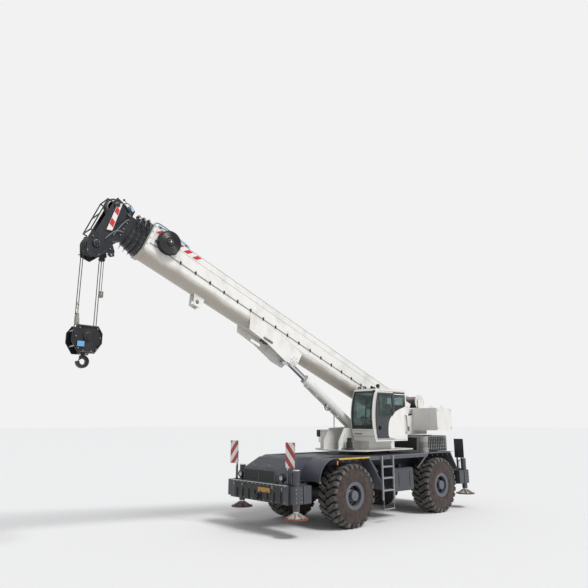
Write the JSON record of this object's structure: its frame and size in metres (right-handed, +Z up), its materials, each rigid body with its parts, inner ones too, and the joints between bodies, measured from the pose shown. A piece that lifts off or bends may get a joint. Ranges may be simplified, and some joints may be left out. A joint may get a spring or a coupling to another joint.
{
  "type": "rough terrain crane",
  "caption": "Rough terrain crane with steered wheels, slewing cab and counterweight, telescopic boom, hook block and telescoping outriggers.",
  "frame": {"origin": "on the ground, midway between the foremost and rearmost points and between the sides", "axes": "+X forward along the boom, +Y to the machine's left, +Z up"},
  "size_m": [15.0467, 3.66, 8.968],
  "materials": {
    "carrier_paint": "satin",
    "white_paint": "gloss",
    "black_paint": "satin",
    "tyre_rubber": "matte",
    "rim_paint": "satin",
    "casting": "painted",
    "rod_chrome": "polished",
    "cab_glazing": "clear",
    "seat_cloth": "woven",
    "rope_steel": "greased wire",
    "ladder_steel": "satin",
    "board_film": "reflective",
    "lamp_lens": "clear",
    "door_paint": "satin",
    "reel_black": "satin",
    "counterweight_paint": "painted"
  },
  "bodies": {
    "carrier": {"chassis_frame": "carrier_paint", "deck_and_fenders": "carrier_paint", "front_outrigger_box": "carrier_paint", "rear_outrigger_box": "carrier_paint", "nose_cover": "carrier_paint", "slew_ring": "black_paint", "engine_block": "casting", "engine_hood": "ladder_steel", "tanks": "carrier_paint", "ladders": "ladder_steel", "front_axle": "black_paint", "rear_axle": "black_paint", "hazard_boards": "board_film", "head_lamps": "lamp_lens"},
    "turntable": {"turntable": "white_paint", "counterweight": "counterweight_paint"},
    "main_winch": {"main_winch_drum": "rope_steel"},
    "auxiliary_winch": {"auxiliary_winch_drum": "rope_steel"},
    "boom_base": {"boom_base": "white_paint", "hose_reel": "reel_black", "boom_rope": "rope_steel"},
    "boom_section_2": {"boom_section_2": "black_paint"},
    "boom_section_3": {"boom_section_3": "black_paint"},
    "boom_section_4": {"boom_section_4": "black_paint"},
    "boom_section_5": {"boom_section_5": "black_paint", "boom_head": "black_paint", "head_sheaves": "black_paint"},
    "hoist_hanger": {"hoist_limit_weight": "rope_steel"},
    "hook_block": {"hoist_ropes": "rope_steel", "hook_block": "black_paint", "block_sheaves": "black_paint"},
    "hook": {"hook": "black_paint"},
    "luff_rod": {"luff_rod": "rod_chrome"},
    "luff_barrel": {"luff_barrel": "white_paint"},
    "cab": {"cab_shell": "white_paint", "cab_glass": "cab_glazing", "seat_and_console": "seat_cloth"},
    "cab_door": {"cab_door": "door_paint", "door_glass": "cab_glazing"},
    "knuckle_front_left": {"knuckle_front_left": "black_paint"},
    "wheel_front_left": {"rim_front_left": "rim_paint", "tyre_front_left": "tyre_rubber"},
    "knuckle_front_right": {"knuckle_front_right": "black_paint"},
    "wheel_front_right": {"rim_front_right": "rim_paint", "tyre_front_right": "tyre_rubber"},
    "knuckle_rear_left": {"knuckle_rear_left": "black_paint"},
    "wheel_rear_left": {"rim_rear_left": "rim_paint", "tyre_rear_left": "tyre_rubber"},
    "knuckle_rear_right": {"knuckle_rear_right": "black_paint"},
    "wheel_rear_right": {"rim_rear_right": "rim_paint", "tyre_rear_right": "tyre_rubber"},
    "beam_front_left": {"outrigger_beam_front_left": "carrier_paint"},
    "jack_front_left": {"outrigger_jack_front_left": "ladder_steel"},
    "beam_front_right": {"outrigger_beam_front_right": "carrier_paint"},
    "jack_front_right": {"outrigger_jack_front_right": "ladder_steel"},
    "beam_rear_left": {"outrigger_beam_rear_left": "carrier_paint"},
    "jack_rear_left": {"outrigger_jack_rear_left": "ladder_steel"},
    "beam_rear_right": {"outrigger_beam_rear_right": "carrier_paint"},
    "jack_rear_right": {"outrigger_jack_rear_right": "ladder_steel"}
  },
  "joints": [
    {"name": "steer_front_left", "type": "hinge", "parent": "carrier", "child": "knuckle_front_left", "pos_m": [-0.87, 1, 0.9375], "axis": [0, 0, 1], "range_deg": [-24, 24]},
    {"name": "spin_front_left", "type": "hinge", "parent": "knuckle_front_left", "child": "wheel_front_left", "pos_m": [-0.87, 1.275, 0.9375], "axis": [0, 1, 0], "continuous": true},
    {"name": "steer_front_right", "type": "hinge", "parent": "carrier", "child": "knuckle_front_right", "pos_m": [-0.87, -1, 0.9375], "axis": [0, 0, 1], "range_deg": [-24, 24]},
    {"name": "spin_front_right", "type": "hinge", "parent": "knuckle_front_right", "child": "wheel_front_right", "pos_m": [-0.87, -1.275, 0.9375], "axis": [0, 1, 0], "continuous": true},
    {"name": "steer_rear_left", "type": "hinge", "parent": "carrier", "child": "knuckle_rear_left", "pos_m": [-5.47, 1, 0.9375], "axis": [0, 0, 1], "range_deg": [-24, 24]},
    {"name": "spin_rear_left", "type": "hinge", "parent": "knuckle_rear_left", "child": "wheel_rear_left", "pos_m": [-5.47, 1.275, 0.9375], "axis": [0, 1, 0], "continuous": true},
    {"name": "steer_rear_right", "type": "hinge", "parent": "carrier", "child": "knuckle_rear_right", "pos_m": [-5.47, -1, 0.9375], "axis": [0, 0, 1], "range_deg": [-24, 24]},
    {"name": "spin_rear_right", "type": "hinge", "parent": "knuckle_rear_right", "child": "wheel_rear_right", "pos_m": [-5.47, -1.275, 0.9375], "axis": [0, 1, 0], "continuous": true},
    {"name": "extend_front_left", "type": "slide", "parent": "carrier", "child": "beam_front_left", "axis": [0, 1, 0], "range_m": [0, 1.95]},
    {"name": "jack_down_front_left", "type": "slide", "parent": "beam_front_left", "child": "jack_front_left", "axis": [0, 0, -1], "range_m": [0, 0.6]},
    {"name": "extend_front_right", "type": "slide", "parent": "carrier", "child": "beam_front_right", "axis": [0, -1, 0], "range_m": [0, 1.95]},
    {"name": "jack_down_front_right", "type": "slide", "parent": "beam_front_right", "child": "jack_front_right", "axis": [0, 0, -1], "range_m": [0, 0.6]},
    {"name": "extend_rear_left", "type": "slide", "parent": "carrier", "child": "beam_rear_left", "axis": [0, 1, 0], "range_m": [0, 1.95]},
    {"name": "jack_down_rear_left", "type": "slide", "parent": "beam_rear_left", "child": "jack_rear_left", "axis": [0, 0, -1], "range_m": [0, 0.6]},
    {"name": "extend_rear_right", "type": "slide", "parent": "carrier", "child": "beam_rear_right", "axis": [0, -1, 0], "range_m": [0, 1.95]},
    {"name": "jack_down_rear_right", "type": "slide", "parent": "beam_rear_right", "child": "jack_rear_right", "axis": [0, 0, -1], "range_m": [0, 0.6]},
    {"name": "slew", "type": "hinge", "parent": "carrier", "child": "turntable", "pos_m": [-3.17, 0, 2.18], "axis": [0, 0, 1], "continuous": true},
    {"name": "main_winch_turn", "type": "hinge", "parent": "turntable", "child": "main_winch", "pos_m": [-6.21, 0, 3.9], "axis": [0, 1, 0], "continuous": true},
    {"name": "auxiliary_winch_turn", "type": "hinge", "parent": "turntable", "child": "auxiliary_winch", "pos_m": [-6.25, 0, 3.24], "axis": [0, 1, 0], "continuous": true},
    {"name": "luff", "type": "hinge", "parent": "turntable", "child": "boom_base", "pos_m": [-5.07, 0, 3.15], "axis": [0, -1, 0], "range_deg": [-22.3, 57.7]},
    {"name": "telescope_2", "type": "slide", "parent": "boom_base", "child": "boom_section_2", "axis": [0.9252, 0, 0.3795], "range_m": [0, 8.5]},
    {"name": "telescope_3", "type": "slide", "parent": "boom_section_2", "child": "boom_section_3", "axis": [0.9252, 0, 0.3795], "range_m": [0, 8.5]},
    {"name": "telescope_4", "type": "slide", "parent": "boom_section_3", "child": "boom_section_4", "axis": [0.9252, 0, 0.3795], "range_m": [0, 8.5]},
    {"name": "telescope_5", "type": "slide", "parent": "boom_section_4", "child": "boom_section_5", "axis": [0.9252, 0, 0.3795], "range_m": [0, 8.5]},
    {"name": "hanger", "type": "hinge", "parent": "boom_section_5", "child": "hoist_hanger", "pos_m": [7.15172, 0, 7.55722], "axis": [0, -1, 0], "range_deg": [-57.7, 22.3]},
    {"name": "hoist", "type": "slide", "parent": "hoist_hanger", "child": "hook_block", "axis": [0, 0, 1], "range_m": [-4.2, 0.7], "deforming": ["hoist_ropes"]},
    {"name": "hook_swivel", "type": "hinge", "parent": "hook_block", "child": "hook", "pos_m": [7.15172, 0, 4.75], "axis": [0, 0, 1], "continuous": true},
    {"name": "luff_rod_pin", "type": "hinge", "parent": "boom_base", "child": "luff_rod", "pos_m": [0.48454, 0, 5.04979], "axis": [0, -1, 0], "range_deg": [-4.5, 11.6]},
    {"name": "luff_stroke", "type": "slide", "parent": "luff_rod", "child": "luff_barrel", "axis": [-0.8282, 0, -0.5604], "range_m": [-0.779, 2.015]},
    {"name": "cab_tilt", "type": "hinge", "parent": "turntable", "child": "cab", "pos_m": [-3.59, 0.69, 2.46], "axis": [0, -1, 0], "range_deg": [0, 18]},
    {"name": "cab_door_slide", "type": "slide", "parent": "cab", "child": "cab_door", "axis": [-1, 0, 0], "range_m": [0, 0.6]}
  ],
  "couplings": [
    {"joint": "steer_front_right", "follows": "steer_front_left", "ratio": 1},
    {"joint": "steer_rear_right", "follows": "steer_rear_left", "ratio": 1},
    {"joint": "telescope_3", "follows": "telescope_2", "ratio": 1},
    {"joint": "telescope_4", "follows": "telescope_2", "ratio": 1},
    {"joint": "telescope_5", "follows": "telescope_2", "ratio": 1},
    {"joint": "hanger", "follows": "luff", "ratio": -1},
    {"joint": "luff_rod_pin", "follows": "luff", "ratio": 0.2},
    {"joint": "luff_stroke", "follows": "luff", "m_per_rad": 2}
  ]
}
